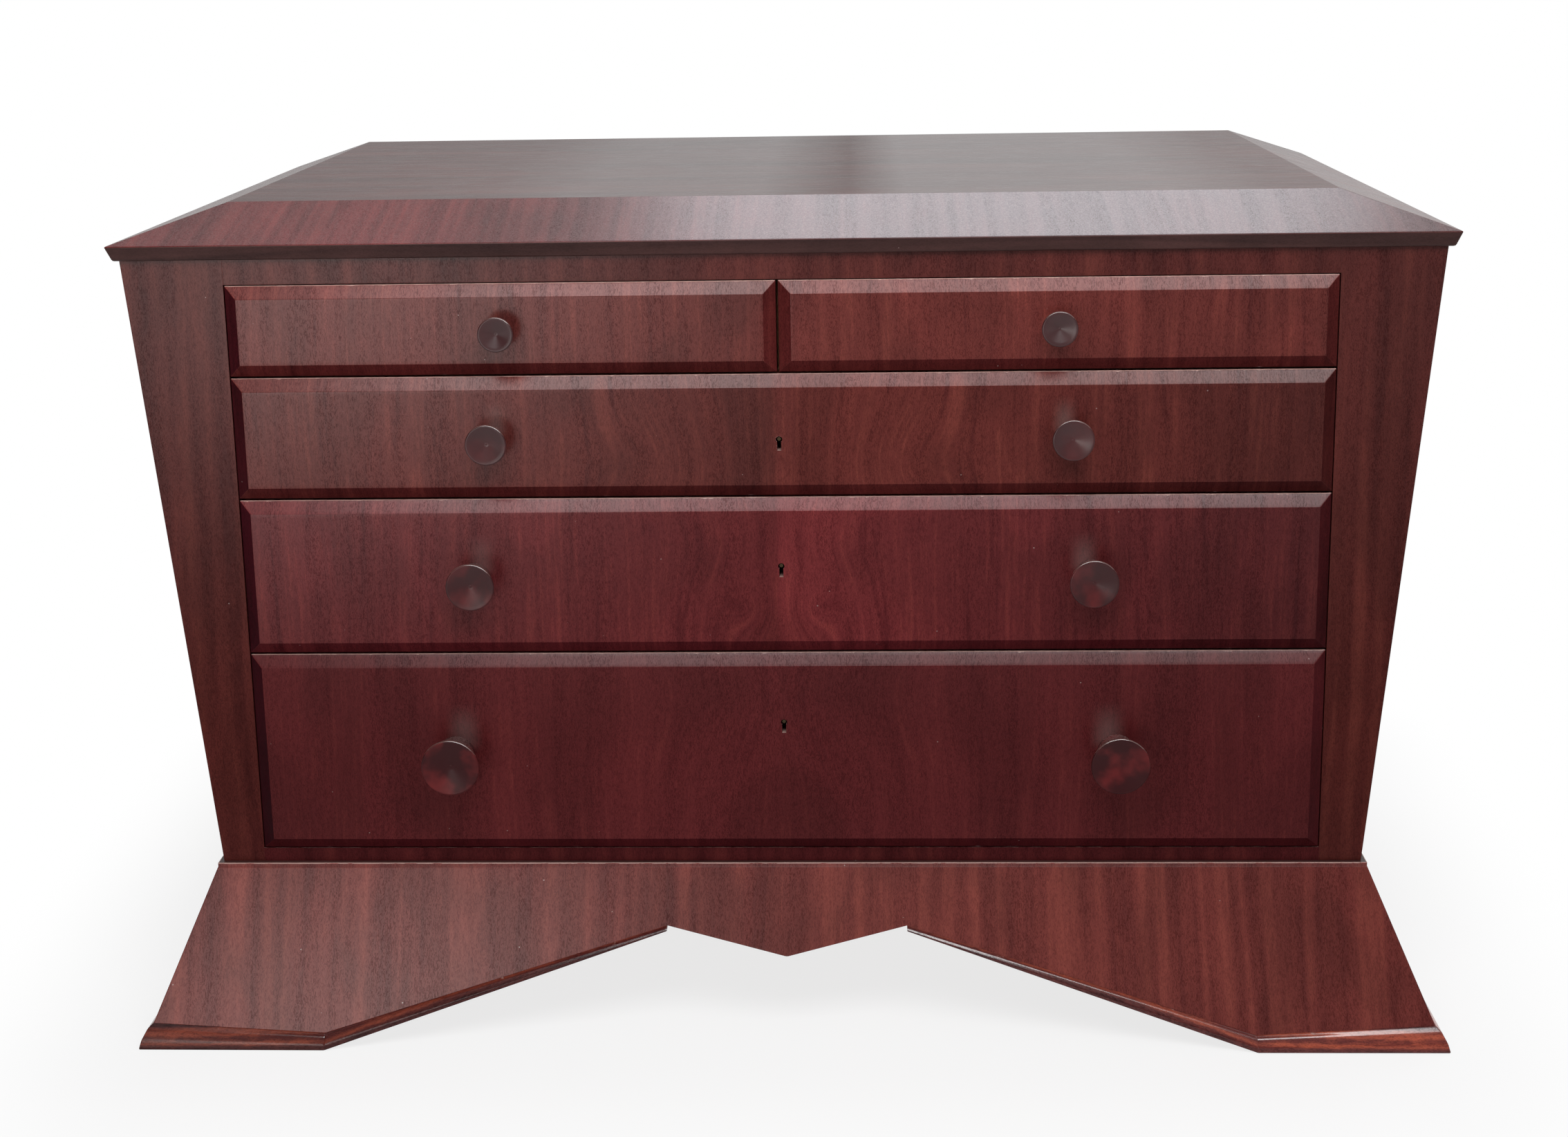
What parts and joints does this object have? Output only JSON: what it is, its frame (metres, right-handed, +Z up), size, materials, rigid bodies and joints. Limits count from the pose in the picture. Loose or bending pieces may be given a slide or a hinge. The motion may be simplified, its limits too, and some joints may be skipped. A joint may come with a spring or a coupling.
{
  "type": "chest of drawers",
  "caption": "Chest of drawers with a tapering case, broad bevelled top, raised-panel drawer fronts, turned dished knobs and a splayed plinth cut away between its feet.",
  "frame": {"origin": "on the floor, at the middle of the footprint's bounding box", "axes": "+Z up, +X to the right seen from the front, the front faces -Y"},
  "size_m": [1.2386, 0.7232, 0.7915],
  "materials": {
    "top_veneer": "polished mahogany veneer",
    "case_veneer": "satin mahogany veneer, ribbon figure",
    "front_veneer": "satin mahogany veneer, ribbon figure",
    "base_veneer": "satin mahogany veneer, ribbon figure",
    "lip_wood": "polished solid mahogany",
    "knob_wood": "satin turned mahogany, dark",
    "inner_wood": "plain planed secondary wood",
    "lock_brass": "aged brass",
    "bolt_steel": "plain steel"
  },
  "bodies": {
    "case": {"back_panel": "inner_wood", "base_back_panel": "inner_wood", "base_front_left_lip": "lip_wood", "base_front_panel": "base_veneer", "base_front_right_lip": "lip_wood", "base_ledge": "base_veneer", "base_left_lip": "lip_wood", "base_left_panel": "base_veneer", "base_right_lip": "lip_wood", "base_right_panel": "base_veneer", "bottom_rail": "case_veneer", "case_floor": "inner_wood", "centre_partition": "inner_wood", "left_drawer_runners": "inner_wood", "left_side_panel": "case_veneer", "left_stile": "case_veneer", "rail_over_lower_drawer": "inner_wood", "rail_over_middle_drawer": "inner_wood", "rail_over_upper_drawer": "inner_wood", "right_drawer_runners": "inner_wood", "right_side_panel": "case_veneer", "right_stile": "case_veneer", "top_board": "top_veneer", "top_rail": "case_veneer"},
    "small_left_drawer": {"small_left_drawer_back": "inner_wood", "small_left_drawer_floor": "inner_wood", "small_left_drawer_front": "front_veneer", "small_left_drawer_knob": "knob_wood", "small_left_drawer_left_side": "inner_wood", "small_left_drawer_right_side": "inner_wood"},
    "small_right_drawer": {"small_right_drawer_back": "inner_wood", "small_right_drawer_floor": "inner_wood", "small_right_drawer_front": "front_veneer", "small_right_drawer_knob": "knob_wood", "small_right_drawer_left_side": "inner_wood", "small_right_drawer_right_side": "inner_wood"},
    "upper_drawer": {"upper_drawer_back": "inner_wood", "upper_drawer_floor": "inner_wood", "upper_drawer_front": "front_veneer", "upper_drawer_knobs": "knob_wood", "upper_drawer_left_side": "inner_wood", "upper_drawer_lock": "lock_brass", "upper_drawer_right_side": "inner_wood"},
    "middle_drawer": {"middle_drawer_back": "inner_wood", "middle_drawer_floor": "inner_wood", "middle_drawer_front": "front_veneer", "middle_drawer_knobs": "knob_wood", "middle_drawer_left_side": "inner_wood", "middle_drawer_lock": "lock_brass", "middle_drawer_right_side": "inner_wood"},
    "lower_drawer": {"lower_drawer_back": "inner_wood", "lower_drawer_floor": "inner_wood", "lower_drawer_front": "front_veneer", "lower_drawer_knobs": "knob_wood", "lower_drawer_left_side": "inner_wood", "lower_drawer_lock": "lock_brass", "lower_drawer_right_side": "inner_wood"},
    "upper_drawer_lock_bolt": {"upper_drawer_lock_bolt": "bolt_steel"},
    "middle_drawer_lock_bolt": {"middle_drawer_lock_bolt": "bolt_steel"},
    "lower_drawer_lock_bolt": {"lower_drawer_lock_bolt": "bolt_steel"}
  },
  "joints": [
    {"name": "small_left_drawer_slide", "type": "slide", "parent": "case", "child": "small_left_drawer", "axis": [0, -1, 0], "range_m": [0, 0.4]},
    {"name": "small_right_drawer_slide", "type": "slide", "parent": "case", "child": "small_right_drawer", "axis": [0, -1, 0], "range_m": [0, 0.4]},
    {"name": "upper_drawer_slide", "type": "slide", "parent": "case", "child": "upper_drawer", "axis": [0, -1, 0], "range_m": [0, 0.4]},
    {"name": "middle_drawer_slide", "type": "slide", "parent": "case", "child": "middle_drawer", "axis": [0, -1, 0], "range_m": [0, 0.4]},
    {"name": "lower_drawer_slide", "type": "slide", "parent": "case", "child": "lower_drawer", "axis": [0, -1, 0], "range_m": [0, 0.4]},
    {"name": "upper_drawer_bolt_slide", "type": "slide", "parent": "upper_drawer", "child": "upper_drawer_lock_bolt", "axis": [0, 0, 1], "range_m": [0, 0.008]},
    {"name": "middle_drawer_bolt_slide", "type": "slide", "parent": "middle_drawer", "child": "middle_drawer_lock_bolt", "axis": [0, 0, 1], "range_m": [0, 0.008]},
    {"name": "lower_drawer_bolt_slide", "type": "slide", "parent": "lower_drawer", "child": "lower_drawer_lock_bolt", "axis": [0, 0, 1], "range_m": [0, 0.008]}
  ]
}
